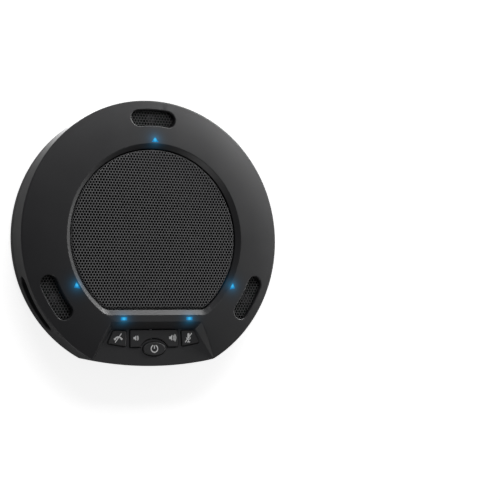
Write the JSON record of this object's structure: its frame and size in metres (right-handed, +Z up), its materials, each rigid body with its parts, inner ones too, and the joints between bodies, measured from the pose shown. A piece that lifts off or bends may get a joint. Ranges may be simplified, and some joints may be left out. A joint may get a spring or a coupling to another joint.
{
  "type": "conference speakerphone",
  "caption": "Low round tabletop speakerphone with a domed face, recessed perforated grille, glowing direction lamps, microphone slots and a sunken row of call buttons.",
  "frame": {"origin": "centre of the footprint's bounding box, on the table under the feet", "axes": "+Z up, +X to the right, +Y away from the user, so the control panel faces -Y"},
  "size_m": [0.1998, 0.1923, 0.0374],
  "materials": {
    "charcoal_plastic": "fine matte, slightly soft-touch",
    "base_plastic": "matte moulded",
    "foot_rubber": "soft matte",
    "screw_steel": "black oxide",
    "grille_steel": "satin black over perforated sheet",
    "inner_plastic": "matte moulded",
    "basket_steel": "satin black",
    "surround_rubber": "soft satin",
    "cone_paper": "black pulp",
    "coil_copper": "varnished winding",
    "dust_cap_plastic": "satin",
    "spider_fabric": "resin-treated cloth",
    "plated_steel": "zinc plated",
    "magnet_ceramic": "sintered ferrite",
    "board_laminate": "green solder mask",
    "battery_sleeve": "shrink sleeve",
    "port_plastic": "matte",
    "socket_plastic": "satin moulded",
    "button_plastic": "matte with printed symbols",
    "mic_mesh_steel": "satin black mesh",
    "capsule_aluminium": "bare",
    "switch_plastic": "matte",
    "lamp_lens": "translucent, lit from behind"
  },
  "bodies": {
    "housing": {"base_cover": "base_plastic", "battery_pack": "battery_sleeve", "battery_strap": "inner_plastic", "board_screws": "screw_steel", "button_board": "board_laminate", "case_screws": "screw_steel", "hang_up_switch": "switch_plastic", "headset_jack": "socket_plastic", "lamp_lens_back": "lamp_lens", "lamp_lens_front_left": "lamp_lens", "lamp_lens_front_right": "lamp_lens", "lamp_lens_left": "lamp_lens", "lamp_lens_right": "lamp_lens", "line_jack": "socket_plastic", "main_board": "board_laminate", "mic_board_back": "board_laminate", "mic_board_left": "board_laminate", "mic_board_right": "board_laminate", "mic_boot_back": "foot_rubber", "mic_boot_left": "foot_rubber", "mic_boot_right": "foot_rubber", "mic_capsule_back": "capsule_aluminium", "mic_capsule_left": "capsule_aluminium", "mic_capsule_right": "capsule_aluminium", "mic_grille_back": "mic_mesh_steel", "mic_grille_left": "mic_mesh_steel", "mic_grille_right": "mic_mesh_steel", "mute_switch": "switch_plastic", "port_panel": "port_plastic", "power_jack": "socket_plastic", "power_switch": "switch_plastic", "radio_module": "board_laminate", "rocker_pivot_pin": "plated_steel", "rubber_feet": "foot_rubber", "speaker_back_box": "inner_plastic", "speaker_baffle": "inner_plastic", "speaker_basket": "basket_steel", "speaker_grille": "grille_steel", "speaker_magnet": "magnet_ceramic", "speaker_screws": "screw_steel", "speaker_spider": "spider_fabric", "speaker_surround": "surround_rubber", "speaker_top_plate": "plated_steel", "speaker_yoke": "plated_steel", "top_cover": "charcoal_plastic", "usb_socket": "plated_steel", "volume_down_switch": "switch_plastic", "volume_up_switch": "switch_plastic"},
    "hang_up": {"hang_up_button": "button_plastic", "hang_up_plunger": "switch_plastic"},
    "volume": {"volume_rocker": "button_plastic", "volume_plungers": "switch_plastic"},
    "power": {"power_button": "button_plastic", "power_plunger": "switch_plastic"},
    "mute": {"mute_button": "button_plastic", "mute_plunger": "switch_plastic"},
    "cone": {"speaker_cone": "cone_paper", "speaker_dust_cap": "dust_cap_plastic", "voice_coil": "coil_copper"}
  },
  "joints": [
    {"name": "hang_up_press", "type": "slide", "parent": "housing", "child": "hang_up", "axis": [0, 0, -1], "range_m": [0, 0.0006], "stiffness_N_per_m": 300, "springref_m": -0.002},
    {"name": "mute_press", "type": "slide", "parent": "housing", "child": "mute", "axis": [0, 0, -1], "range_m": [0, 0.0006], "stiffness_N_per_m": 300, "springref_m": -0.002},
    {"name": "power_press", "type": "slide", "parent": "housing", "child": "power", "axis": [0, 0, -1], "range_m": [0, 0.0006], "stiffness_N_per_m": 300, "springref_m": -0.002},
    {"name": "volume_rock", "type": "hinge", "parent": "housing", "child": "volume", "pos_m": [0, -0.0739, 0.0255], "axis": [0, 1, 0], "range_deg": [-1.8, 1.8], "stiffness_Nm_per_rad": 0.1},
    {"name": "cone_stroke", "type": "slide", "parent": "housing", "child": "cone", "axis": [0, 0, 1], "range_m": [-0.0012, 0.0012], "stiffness_N_per_m": 1500, "deforming": ["speaker_surround", "speaker_spider"]}
  ]
}
